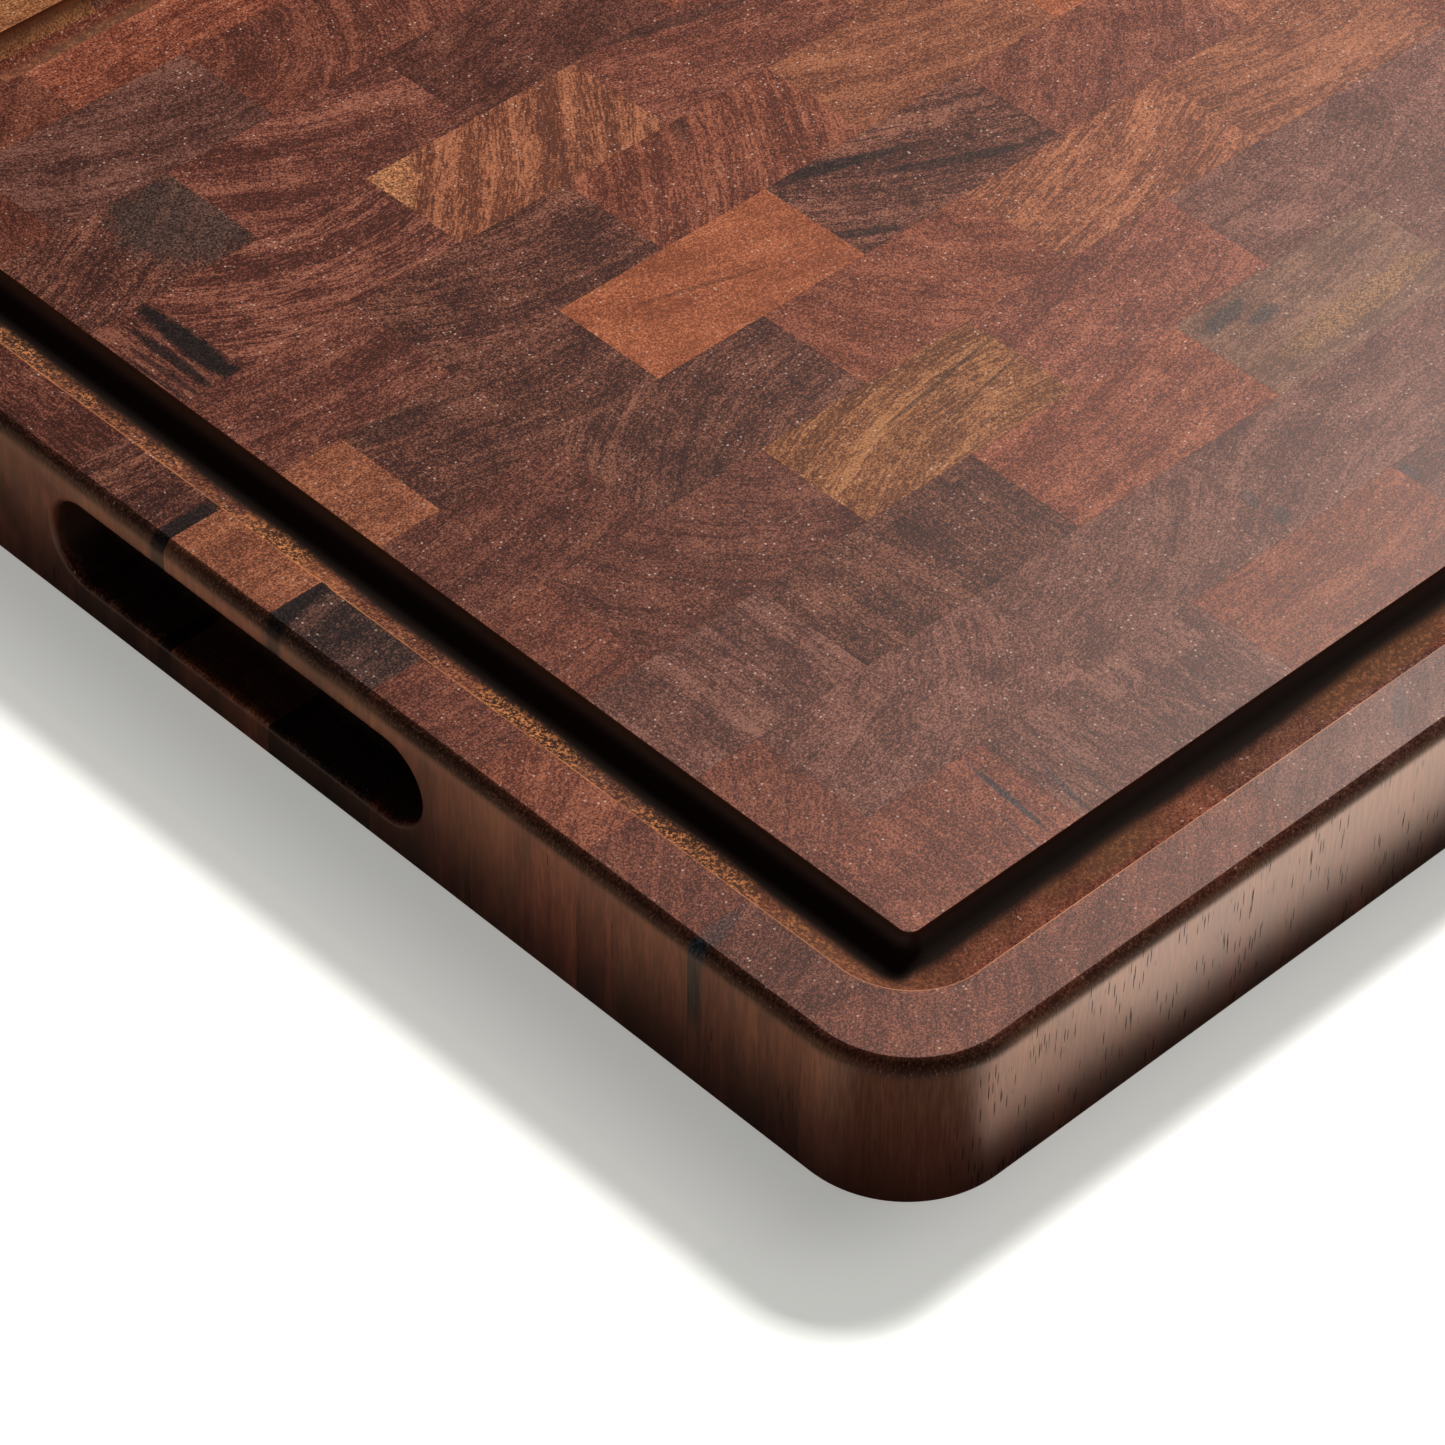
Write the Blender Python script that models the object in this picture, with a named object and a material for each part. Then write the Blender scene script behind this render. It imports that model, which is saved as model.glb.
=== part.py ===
"""End-grain butcher-block cutting board with a juice groove and a finger slot in each end.

The board is glued up from hardwood blocks that stand on end, laid in rows like bricks. X runs along the
board's length, Y along its width and Z up. The origin is the centre of the underside. Each part is a run of
two or three neighbouring blocks of one row, cut to the board's outline, groove and finger slots.
"""

import math

import bmesh
import bpy
from mathutils import Matrix

# Board, in metres
LENGTH = 0.508
WIDTH = 0.381
THICKNESS = 0.0381
CORNER_RADIUS = 0.025
TOP_EASING = 0.003
BOTTOM_EASING = 0.002
EASING_SEGMENTS = 3
CORNER_SEGMENTS = 10

# Juice groove: a round-nosed cut that follows the outline
GROOVE_INSET = 0.0233  # from the board's side to the middle of the groove
GROOVE_WIDTH = 0.0152
GROOVE_DEPTH = 0.0065
GROOVE_CORNER_RADIUS = 0.0102  # of the groove's middle line
GROOVE_CORNER_SEGMENTS = 8
GROOVE_ROUNDNESS = 8  # the cutter's bevel resolution

# Finger slots: one in each end, centred on the board's width
SLOT_LENGTH = 0.1134
SLOT_HEIGHT = 0.021
SLOT_DEPTH = 0.015
SLOT_HEIGHT_ABOVE_BASE = 0.0194  # of the slot's middle
SLOT_MOUTH_CHAMFER = 0.0012
SLOT_FLOOR_RADIUS = 0.004
SLOT_FLOOR_STEPS = 3
SLOT_END_SEGMENTS = 12
SLOT_RUN_OUT = 0.004  # how far the slot's cutter starts outside the board

# Block layout
ROW_COUNT = 13
FRONT_ROW_WIDTH = 0.028  # the front row is trimmed a little, and the back row takes what is left
ROW_WIDTH = 0.0304
BLOCK_LENGTH = 0.0602
FIRST_BLOCK_EVEN = 0.0473  # left-hand block of the rows that start with a long piece
FIRST_BLOCK_ODD = 0.0172  # left-hand block of the rows between them, half a block further along
RUNS_EVEN = (3, 2, 2, 2)  # blocks joined in each node of a nine-block row
RUNS_ODD = (2, 2, 2, 2, 2)  # and of a ten-block row
GLUE_GAP = 0.0003
BLANK_MARGIN = 0.005  # how far an uncut run stands proud of the board before it is cut to shape
NEARLY = 1e-5  # two lengths this close are the same

# Wood tones: name, linear colour and roughness
TONES = {
    "r": ("red_brown_wood", (0.125, 0.036, 0.020), 0.45),
    "p": ("plum_brown_wood", (0.078, 0.026, 0.019), 0.48),
    "o": ("orange_wood", (0.260, 0.082, 0.030), 0.42),
    "h": ("honey_wood", (0.235, 0.105, 0.036), 0.42),
    "c": ("charcoal_wood", (0.050, 0.024, 0.017), 0.50),
}
# One letter for each run, left to right, from the front row to the back row
RUN_TONES = ("rrpr", "prrpr", "rprr", "ppror", "rhrp", "cprop", "oocr", "pprro", "crhp", "rpprr", "rrpo", "orpcr", "prro")

GROOVE_RADIUS = ((GROOVE_WIDTH / 2) ** 2 + GROOVE_DEPTH**2) / (2 * GROOVE_DEPTH)


def clear_scene():
    for obj in list(bpy.data.objects):
        bpy.data.objects.remove(obj, do_unlink=True)


def collection(name):
    made = bpy.data.collections.new(name)
    bpy.context.scene.collection.children.link(made)
    return made


def new_object(name, mesh, group):
    obj = bpy.data.objects.new(name, mesh)
    group.objects.link(obj)
    return obj


def arc(centre_x, centre_y, radius, start, end, segments):
    """Points along an arc, both ends included. Angles are in degrees."""
    angles = [math.radians(start + (end - start) * i / segments) for i in range(segments + 1)]
    return [(centre_x + radius * math.cos(a), centre_y + radius * math.sin(a)) for a in angles]


def rounded_rectangle(length, width, radius, segments):
    """Outline of a rectangle with round corners, anticlockwise, centred on the origin."""
    x = length / 2 - radius
    y = width / 2 - radius
    corners = ((x, y, 0), (-x, y, 90), (-x, -y, 180), (x, -y, 270))
    points = []
    for centre_x, centre_y, start in corners:
        points += arc(centre_x, centre_y, radius, start, start + 90, segments)
    return points


def stadium(length, height, segments):
    """Outline of a slot with two round ends, anticlockwise, centred on the origin."""
    radius = height / 2
    reach = length / 2 - radius
    return arc(reach, 0, radius, -90, 90, segments) + arc(-reach, 0, radius, 90, 270, segments)


def outline_curve(name, points, group):
    """A closed 2D or 3D curve through the points, in the XY plane."""
    curve = bpy.data.curves.new(name, "CURVE")
    spline = curve.splines.new("POLY")
    spline.points.add(len(points) - 1)
    for point, (x, y) in zip(spline.points, points):
        point.co = (x, y, 0, 1)
    spline.use_cyclic_u = True
    return new_object(name, curve, group)


def mesh_from_curve(obj, group):
    """Turns a curve object into a mesh object of the same name, with its caps welded."""
    name = obj.name
    depsgraph = bpy.context.evaluated_depsgraph_get()
    mesh = bpy.data.meshes.new_from_object(obj.evaluated_get(depsgraph))
    matrix = obj.matrix_world.copy()
    bpy.data.objects.remove(obj, do_unlink=True)
    shape = bmesh.new()
    shape.from_mesh(mesh)
    bmesh.ops.remove_doubles(shape, verts=shape.verts, dist=1e-6)
    bmesh.ops.recalc_face_normals(shape, faces=shape.faces)
    shape.to_mesh(mesh)
    shape.free()
    made = new_object(name, mesh, group)
    made.matrix_world = matrix
    return made


def as_cutter(obj):
    obj.hide_render = True
    obj.display_type = "WIRE"
    return obj


def boolean(obj, tool, operation):
    modifier = obj.modifiers.new(f"{operation.lower()}_{tool.name}", "BOOLEAN")
    modifier.operation = operation
    modifier.solver = "EXACT"
    modifier.object = tool


def eased_slab(cutters):
    """The whole board as one slab: rounded corners, with its top and bottom edges eased."""
    outline = rounded_rectangle(LENGTH, WIDTH, CORNER_RADIUS, CORNER_SEGMENTS)
    curve = outline_curve("board_form", outline, cutters)
    curve.data.dimensions = "2D"
    curve.data.fill_mode = "BOTH"
    curve.data.extrude = THICKNESS / 2
    curve.location.z = THICKNESS / 2
    bpy.context.view_layer.update()
    slab = mesh_from_curve(curve, cutters)
    shape = bmesh.new()
    shape.from_mesh(slab.data)
    bmesh.ops.dissolve_limit(shape, angle_limit=math.radians(1), verts=shape.verts, edges=shape.edges)
    for height, easing in ((THICKNESS / 2, TOP_EASING), (-THICKNESS / 2, BOTTOM_EASING)):
        rim = [e for e in shape.edges if all(abs(v.co.z - height) < NEARLY for v in e.verts)]
        bmesh.ops.bevel(
            shape,
            geom=rim,
            offset=easing,
            segments=EASING_SEGMENTS,
            profile=0.5,
            affect="EDGES",
            clamp_overlap=True,
        )
    shape.to_mesh(slab.data)
    shape.free()
    return as_cutter(slab)


def groove_cutter(cutters):
    """A round rod bent to the groove's middle line, so high that it cuts to the groove's depth."""
    middle = rounded_rectangle(
        LENGTH - 2 * GROOVE_INSET, WIDTH - 2 * GROOVE_INSET, GROOVE_CORNER_RADIUS, GROOVE_CORNER_SEGMENTS
    )
    curve = outline_curve("groove_cutter", middle, cutters)
    curve.data.dimensions = "3D"
    curve.data.bevel_depth = GROOVE_RADIUS
    curve.data.bevel_resolution = GROOVE_ROUNDNESS
    curve.location.z = THICKNESS - GROOVE_DEPTH + GROOVE_RADIUS
    bpy.context.view_layer.update()
    return as_cutter(mesh_from_curve(curve, cutters))


def slot_cutter(name, side, cutters):
    """A flared mouth, straight walls and a coved floor. side is -1 for the left end and 1 for the right."""
    mouth = stadium(
        SLOT_LENGTH + 2 * SLOT_MOUTH_CHAMFER, SLOT_HEIGHT + 2 * SLOT_MOUTH_CHAMFER, SLOT_END_SEGMENTS
    )
    shape = bmesh.new()
    mouth_face = shape.faces.new([shape.verts.new((x, y, 0)) for x, y in mouth])
    made = bmesh.ops.extrude_face_region(shape, geom=[mouth_face], use_keep_orig=True)["geom"]
    floor = next(item for item in made if isinstance(item, bmesh.types.BMFace))
    bmesh.ops.translate(shape, verts=floor.verts, vec=(0, 0, SLOT_RUN_OUT))
    floor.normal_update()
    steps = [(SLOT_MOUTH_CHAMFER, SLOT_MOUTH_CHAMFER)]
    steps.append((0, SLOT_DEPTH - SLOT_MOUTH_CHAMFER - SLOT_FLOOR_RADIUS))
    for step in range(SLOT_FLOOR_STEPS):
        a = math.radians(90 * step / SLOT_FLOOR_STEPS)
        b = math.radians(90 * (step + 1) / SLOT_FLOOR_STEPS)
        inset = SLOT_FLOOR_RADIUS * (math.cos(a) - math.cos(b))
        steps.append((inset, SLOT_FLOOR_RADIUS * (math.sin(b) - math.sin(a))))
    for inset, depth in steps:
        bmesh.ops.inset_region(shape, faces=[floor], thickness=inset, depth=depth, use_even_offset=True)
    bmesh.ops.recalc_face_normals(shape, faces=shape.faces)
    mesh = bpy.data.meshes.new(name)
    shape.to_mesh(mesh)
    shape.free()
    cutter = new_object(name, mesh, cutters)
    cutter.rotation_euler = (math.radians(90), 0, math.radians(-90 * side))
    cutter.location = (side * (LENGTH / 2 + SLOT_RUN_OUT), 0, SLOT_HEIGHT_ABOVE_BASE)
    return as_cutter(cutter)


def tone_material(letter):
    name, colour, roughness = TONES[letter]
    made = bpy.data.materials.get(name)
    if made is None:
        made = bpy.data.materials.new(name)
        made.use_nodes = True
        made.diffuse_color = (*colour, 1)
        shader = made.node_tree.nodes["Principled BSDF"]
        shader.inputs["Base Color"].default_value = (*colour, 1)
        shader.inputs["Roughness"].default_value = roughness
        shader.inputs["Metallic"].default_value = 0.0
    return made


def row_bounds(row):
    """Front and back of a row, along Y. Rows are counted from 0 at the front."""
    front = -WIDTH / 2 if row == 0 else -WIDTH / 2 + FRONT_ROW_WIDTH + (row - 1) * ROW_WIDTH
    back = WIDTH / 2 if row == ROW_COUNT - 1 else -WIDTH / 2 + FRONT_ROW_WIDTH + row * ROW_WIDTH
    return front, back


def joints_along(row):
    """Glue lines of a row, along X, with the board's two ends."""
    first = FIRST_BLOCK_ODD if row % 2 else FIRST_BLOCK_EVEN
    lines = [-LENGTH / 2]
    x = -LENGTH / 2 + first
    while x < LENGTH / 2 - NEARLY:
        lines.append(x)
        x += BLOCK_LENGTH
    lines.append(LENGTH / 2)
    return lines


def run_of_blocks(name, low, high, tone, parts):
    """A plain bar between two corners of the board's plan, taller than the board until it is cut."""
    bpy.ops.mesh.primitive_cube_add(size=1)
    bar = bpy.context.active_object
    bar.name = name
    bar.data.name = name
    bpy.context.collection.objects.unlink(bar)
    parts.objects.link(bar)
    size = (high[0] - low[0], high[1] - low[1], THICKNESS + 2 * BLANK_MARGIN)
    bar.data.transform(Matrix.Diagonal((*size, 1)))
    bar.location = ((low[0] + high[0]) / 2, (low[1] + high[1]) / 2, THICKNESS / 2)
    bar.data.materials.append(tone_material(tone))
    return bar


def cut_line(value, half_size, outwards):
    """Where a run's side lies before it is cut: half the glue gap inside a joint, or proud of the board's side."""
    if abs(value) > half_size - NEARLY:
        return value + outwards * BLANK_MARGIN
    return value - outwards * GLUE_GAP / 2


def build():
    clear_scene()
    parts = collection("cutting_board")
    cutters = collection("cutters")
    form = eased_slab(cutters)
    boolean(form, groove_cutter(cutters), "DIFFERENCE")
    boolean(form, slot_cutter("left_slot_cutter", -1, cutters), "DIFFERENCE")
    boolean(form, slot_cutter("right_slot_cutter", 1, cutters), "DIFFERENCE")
    for row in range(ROW_COUNT):
        front, back = row_bounds(row)
        lines = joints_along(row)
        first = 0
        for count, tone in zip(RUNS_ODD if row % 2 else RUNS_EVEN, RUN_TONES[row]):
            left, right = lines[first], lines[first + count]
            low = (cut_line(left, LENGTH / 2, -1), cut_line(front, WIDTH / 2, -1))
            high = (cut_line(right, LENGTH / 2, 1), cut_line(back, WIDTH / 2, 1))
            name = f"row_{row + 1:02d}_blocks_{first + 1}_to_{first + count}"
            boolean(run_of_blocks(name, low, high, tone, parts), form, "INTERSECT")
            first += count


build()
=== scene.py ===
"""An oiled cutting board of end-grain hardwood blocks, with a juice groove and finger slots.

The board is 13 glued rows of blocks whose fibres all stand upright, so its faces show growth
rings and its sides show long grain. Each block is its own piece, cut from one board form.
"""
import math
import random
from collections import namedtuple

import bmesh
import bpy
from mathutils import Euler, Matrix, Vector


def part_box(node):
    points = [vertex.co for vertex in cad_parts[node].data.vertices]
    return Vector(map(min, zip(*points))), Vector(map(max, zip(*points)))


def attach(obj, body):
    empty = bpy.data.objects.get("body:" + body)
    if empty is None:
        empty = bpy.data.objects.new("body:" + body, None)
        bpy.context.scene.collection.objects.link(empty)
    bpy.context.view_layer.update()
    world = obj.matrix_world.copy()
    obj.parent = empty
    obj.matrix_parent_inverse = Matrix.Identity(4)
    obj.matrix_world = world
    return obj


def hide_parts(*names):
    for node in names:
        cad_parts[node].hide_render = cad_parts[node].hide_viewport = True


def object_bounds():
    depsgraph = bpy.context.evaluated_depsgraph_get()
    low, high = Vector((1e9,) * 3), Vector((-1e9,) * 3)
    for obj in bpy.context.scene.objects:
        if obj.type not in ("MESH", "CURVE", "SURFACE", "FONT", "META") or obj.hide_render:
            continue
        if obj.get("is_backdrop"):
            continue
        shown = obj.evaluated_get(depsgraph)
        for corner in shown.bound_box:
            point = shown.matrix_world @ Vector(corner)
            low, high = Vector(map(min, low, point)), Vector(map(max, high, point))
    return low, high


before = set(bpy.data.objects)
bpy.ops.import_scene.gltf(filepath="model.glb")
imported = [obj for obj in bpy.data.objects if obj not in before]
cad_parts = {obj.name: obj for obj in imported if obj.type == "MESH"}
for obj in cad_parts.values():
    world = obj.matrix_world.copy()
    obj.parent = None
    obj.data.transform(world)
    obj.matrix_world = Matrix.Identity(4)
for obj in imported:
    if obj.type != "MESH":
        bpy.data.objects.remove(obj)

LOW, HIGH = (Vector(corner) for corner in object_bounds())
MM = 0.001

# The board form, in metres
CORNER_RADIUS = 25.0 * MM
TOP_EASING_WIDTH = 2.2 * MM
TOP_EASING_HEIGHT = 3.8 * MM
BOTTOM_EASING = 2.0 * MM
GROOVE_INSET = 23.3 * MM
GROOVE_WIDTH = 15.2 * MM
GROOVE_DEPTH = 6.5 * MM
GROOVE_CORNER_RADIUS = 10.2 * MM
SLOT_LENGTH = 113.4 * MM
SLOT_HEIGHT = 21.0 * MM
SLOT_DEPTH = 15.0 * MM
SLOT_MIDDLE_HEIGHT = 19.4 * MM
SLOT_MOUTH_ROUNDING = 1.3 * MM
SLOT_FLOOR_ROUNDING = 4.0 * MM
BLOCK_LENGTH = 60.2 * MM
GLUE_LINE = 0.03 * MM
CUT_MARGIN = 6.0 * MM

# How finely the round parts are divided, and how they are shaded
CORNER_STEPS = 26
EASING_STEPS = 9
GROOVE_STEPS = 56
SLOT_END_STEPS = 36
MOUTH_STEPS = 6
NEARLY_ROUND = 0.9999
NEARLY_SQUARE = 0.99999
SHARP_ANGLE = 26

MIDDLE = (LOW + HIGH) / 2
HALF_X = (HIGH.x - LOW.x) / 2
HALF_Y = (HIGH.y - LOW.y) / 2
TOP = HIGH.z


# ---------------------------------------------------------------- shapes

def arc(centre, radius, start, end, steps):
    """Points along an arc about centre, in two dimensions; angles are in degrees."""
    angles = (math.radians(start + (end - start) * k / steps) for k in range(steps + 1))
    return [(centre[0] + radius * math.cos(a), centre[1] + radius * math.sin(a)) for a in angles]


def rounded_rectangle(half_x, half_y, radius, steps):
    """The outline of a round-cornered rectangle about the origin, counter-clockwise."""
    points = []
    for quarter, (side_x, side_y) in enumerate(((1, 1), (-1, 1), (-1, -1), (1, -1))):
        centre = (side_x * (half_x - radius), side_y * (half_y - radius))
        points += arc(centre, radius, 90 * quarter, 90 * quarter + 90, steps)
    return points


def loft(name, loops, closed):
    """A mesh object through equally long loops of points, with its ends capped or joined up."""
    mesh = bpy.data.meshes.new(name)
    build = bmesh.new()
    rings = [[build.verts.new(point) for point in loop] for loop in loops]
    pairs = list(zip(rings, rings[1:]))
    if closed:
        pairs.append((rings[-1], rings[0]))
    else:
        build.faces.new(rings[0])
        build.faces.new(rings[-1])
    for below, above in pairs:
        for k in range(len(below)):
            build.faces.new((below[k - 1], below[k], above[k], above[k - 1]))
    bmesh.ops.recalc_face_normals(build, faces=build.faces)
    build.to_mesh(mesh)
    build.free()
    shape = bpy.data.objects.new(name, mesh)
    bpy.context.scene.collection.objects.link(shape)
    return shape


def boolean(target, cutter, operation):
    """The mesh of target cut by, or kept within, cutter."""
    cut = target.modifiers.new("cut", "BOOLEAN")
    cut.operation = operation
    cut.solver = "MANIFOLD"
    cut.object = cutter
    evaluated = target.evaluated_get(bpy.context.evaluated_depsgraph_get())
    mesh = bpy.data.meshes.new_from_object(evaluated)
    target.modifiers.remove(cut)
    return mesh


def discard(*shapes):
    for shape in shapes:
        bpy.data.objects.remove(shape)


def eased_slab():
    """The board before it is cut: eased along the top and bottom edges, round at the corners."""
    width, height = TOP_EASING_WIDTH, TOP_EASING_HEIGHT
    top_radius = (width ** 2 + height ** 2) / (2 * width)
    sweep = math.degrees(math.asin(height / top_radius))
    profile = arc((BOTTOM_EASING, LOW.z + BOTTOM_EASING), BOTTOM_EASING, 270, 180, EASING_STEPS)
    profile += arc((top_radius, TOP - height), top_radius, 180, 180 - sweep, EASING_STEPS)
    loops = []
    for inset, z in profile:
        outline = rounded_rectangle(HALF_X - inset, HALF_Y - inset, CORNER_RADIUS - inset, CORNER_STEPS)
        loops.append([(MIDDLE.x + x, MIDDLE.y + y, z) for x, y in outline])
    return loft("slab", loops, closed=False)


def groove_rod():
    """The round rod, bent round the board, that the juice groove is the print of."""
    radius = ((GROOVE_WIDTH / 2) ** 2 + GROOVE_DEPTH ** 2) / (2 * GROOVE_DEPTH)
    centre_z = TOP - GROOVE_DEPTH + radius
    loops = []
    for out, z in arc((0, centre_z), radius, 0, 360, GROOVE_STEPS)[:-1]:
        outline = rounded_rectangle(HALF_X - GROOVE_INSET + out, HALF_Y - GROOVE_INSET + out,
                                    GROOVE_CORNER_RADIUS + out, CORNER_STEPS)
        loops.append([(MIDDLE.x + x, MIDDLE.y + y, z) for x, y in outline])
    return loft("groove_rod", loops, closed=True)


def slot_plug(side):
    """The plug whose print is a finger slot in the end face at -X (side -1) or +X (side 1)."""
    mouth, floor = SLOT_MOUTH_ROUNDING, SLOT_FLOOR_ROUNDING
    profile = [(mouth, -mouth)]
    profile += [(mouth - x, mouth - y) for x, y in arc((0, 0), mouth, 90, 0, MOUTH_STEPS)]
    profile += [(x - floor, SLOT_DEPTH - floor + y) for x, y in arc((0, 0), floor, 0, 90, MOUTH_STEPS)]
    face_x = MIDDLE.x + side * HALF_X
    loops = []
    for out, depth in profile:
        half_height = SLOT_HEIGHT / 2 + out
        outline = rounded_rectangle(SLOT_LENGTH / 2 + out, half_height, half_height * NEARLY_ROUND,
                                    SLOT_END_STEPS)
        x = face_x - side * depth
        loops.append([(x, MIDDLE.y + y, LOW.z + SLOT_MIDDLE_HEIGHT + z) for y, z in outline])
    return loft("slot_plug", loops, closed=False)


def board_form():
    """The whole board as one closed shape, which the blocks are then cut from."""
    form = eased_slab()
    cutters = [groove_rod(), slot_plug(-1), slot_plug(1)]
    for cutter in cutters:
        form.data = boolean(form, cutter, "DIFFERENCE")
    discard(*cutters)
    return form


def prism(low, high):
    """A box between two corners, as the cutter that keeps one block of the form."""
    outline = ((low.x, low.y), (high.x, low.y), (high.x, high.y), (low.x, high.y))
    loops = [[(x, y, z) for x, y in outline] for z in (low.z, high.z)]
    return loft("prism", loops, closed=False)


def shade(mesh):
    """Smooth shading on the round faces only, so that the flat ones stay exactly flat."""
    for face in mesh.polygons:
        face.use_smooth = max(abs(part) for part in face.normal) < NEARLY_SQUARE
    mesh.set_sharp_from_angle(angle=math.radians(SHARP_ANGLE))


# ---------------------------------------------------------------- layout of the blocks

Block = namedtuple("Block", "row number low high node")


def rows_of_nodes():
    """The CAD's runs of blocks, row by row: (first block, last block, node name)."""
    rows = {}
    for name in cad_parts:
        _, row, _, first, _, last = name.split("_")
        rows.setdefault(int(row), []).append((int(first), int(last), name))
    return [sorted(rows[row]) for row in sorted(rows)]


def layout():
    """Every block's box. Rows come from the CAD; within a row the joints are a block apart."""
    rows = rows_of_nodes()
    blocks = []
    for index, runs in enumerate(rows):
        y_low = row_border(rows, index) if index else LOW.y - CUT_MARGIN
        y_high = row_border(rows, index + 1) if index + 1 < len(rows) else HIGH.y + CUT_MARGIN
        _, anchor_number, node = runs[0]
        anchor = (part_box(node)[1][0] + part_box(runs[1][2])[0][0]) / 2
        count = runs[-1][1]
        for first, last, node in runs:
            for number in range(first, last + 1):
                x_low = anchor + (number - 1 - anchor_number) * BLOCK_LENGTH
                x_high = x_low + BLOCK_LENGTH
                if number == 1:
                    x_low = LOW.x - CUT_MARGIN
                if number == count:
                    x_high = HIGH.x + CUT_MARGIN
                low = Vector((x_low + GLUE_LINE / 2, y_low + GLUE_LINE / 2, LOW.z - CUT_MARGIN))
                high = Vector((x_high - GLUE_LINE / 2, y_high - GLUE_LINE / 2, HIGH.z + CUT_MARGIN))
                blocks.append(Block(index + 1, number, low, high, node))
    return blocks


def row_border(rows, index):
    """Where in Y the glue line between row index and the row before it runs."""
    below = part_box(rows[index - 1][0][2])[1][1]
    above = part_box(rows[index][0][2])[0][1]
    return (below + above) / 2


# ---------------------------------------------------------------- node trees

class Tree:
    """Adds nodes to a tree. Any input may be a socket of another node or a plain value."""

    def __init__(self, tree):
        self.tree = tree

    def feed(self, node, inputs):
        for key, value in inputs.items():
            if isinstance(value, bpy.types.NodeSocket):
                self.tree.links.new(value, node.inputs[key])
            else:
                node.inputs[key].default_value = value

    def node(self, kind, inputs=None, **settings):
        node = self.tree.nodes.new(kind)
        for name, value in settings.items():
            setattr(node, name, value)
        self.feed(node, inputs or {})
        return node

    def group(self, group, inputs):
        return self.node("ShaderNodeGroup", inputs, node_tree=group).outputs

    def math(self, operation, a, b=0.0):
        return self.node("ShaderNodeMath", {0: a, 1: b}, operation=operation).outputs[0]

    def plus(self, first, *others):
        for other in others:
            first = self.math("ADD", first, other)
        return first

    def minus(self, first, *others):
        for other in others:
            first = self.math("SUBTRACT", first, other)
        return first

    def times(self, first, *others):
        for other in others:
            first = self.math("MULTIPLY", first, other)
        return first

    def swing(self, value, amount):
        """The value about its middle, a half, times an amount."""
        return self.times(self.minus(value, 0.5), amount)

    def vector(self, operation, a, b=(0, 0, 0)):
        node = self.node("ShaderNodeVectorMath", {0: a, 1: b}, operation=operation)
        return node.outputs["Value" if operation in ("LENGTH", "DOT_PRODUCT") else "Vector"]

    def in_millimetres(self, position):
        node = self.node("ShaderNodeVectorMath", {0: position, "Scale": 1 / MM}, operation="SCALE")
        return node.outputs["Vector"]

    def split(self, vector):
        return self.node("ShaderNodeSeparateXYZ", {0: vector}).outputs

    def join(self, x, y, z):
        return self.node("ShaderNodeCombineXYZ", {0: x, 1: y, 2: z}).outputs[0]

    def shrink(self, position, size):
        """The position in units of a size given for each axis."""
        return self.vector("MULTIPLY", position, tuple(1 / part for part in size))

    def noise(self, position, detail=2.0, roughness=0.5):
        """Noise of about one feature per unit, from 0 to 1 with most of it near a half."""
        inputs = {"Vector": position, "Scale": 1.0, "Detail": detail, "Roughness": roughness}
        return self.node("ShaderNodeTexNoise", inputs).outputs[0]

    def cells(self, position):
        """Distance from the nearest of some scattered points, about one a unit, and its colour."""
        node = self.node("ShaderNodeTexVoronoi", {"Vector": position, "Scale": 1.0})
        return node.outputs["Distance"], node.outputs["Color"]

    def step(self, value, start, end):
        """0 at start and 1 at end, with a smooth step between them. End may be below start."""
        inputs = {"Value": value, "From Min": start, "From Max": end}
        node = self.node("ShaderNodeMapRange", inputs, interpolation_type="SMOOTHSTEP")
        return node.outputs["Result"]

    def mix(self, factor, a, b):
        inputs = {0: factor, 6: a, 7: b}
        return self.node("ShaderNodeMix", inputs, data_type="RGBA").outputs[2]


def node_group(name, inputs, outputs):
    """A new shader group: its Tree, its input sockets and a function that sets an output."""
    group = bpy.data.node_groups.new(name, "ShaderNodeTree")
    for label, kind in inputs.items():
        group.interface.new_socket(label, in_out="INPUT", socket_type="NodeSocket" + kind)
    for label, kind in outputs.items():
        group.interface.new_socket(label, in_out="OUTPUT", socket_type="NodeSocket" + kind)
    tree = Tree(group)
    entry = tree.node("NodeGroupInput").outputs
    leave = tree.node("NodeGroupOutput").inputs

    def give(label, socket):
        group.links.new(socket, leave[label])

    return group, tree, entry, give


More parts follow.
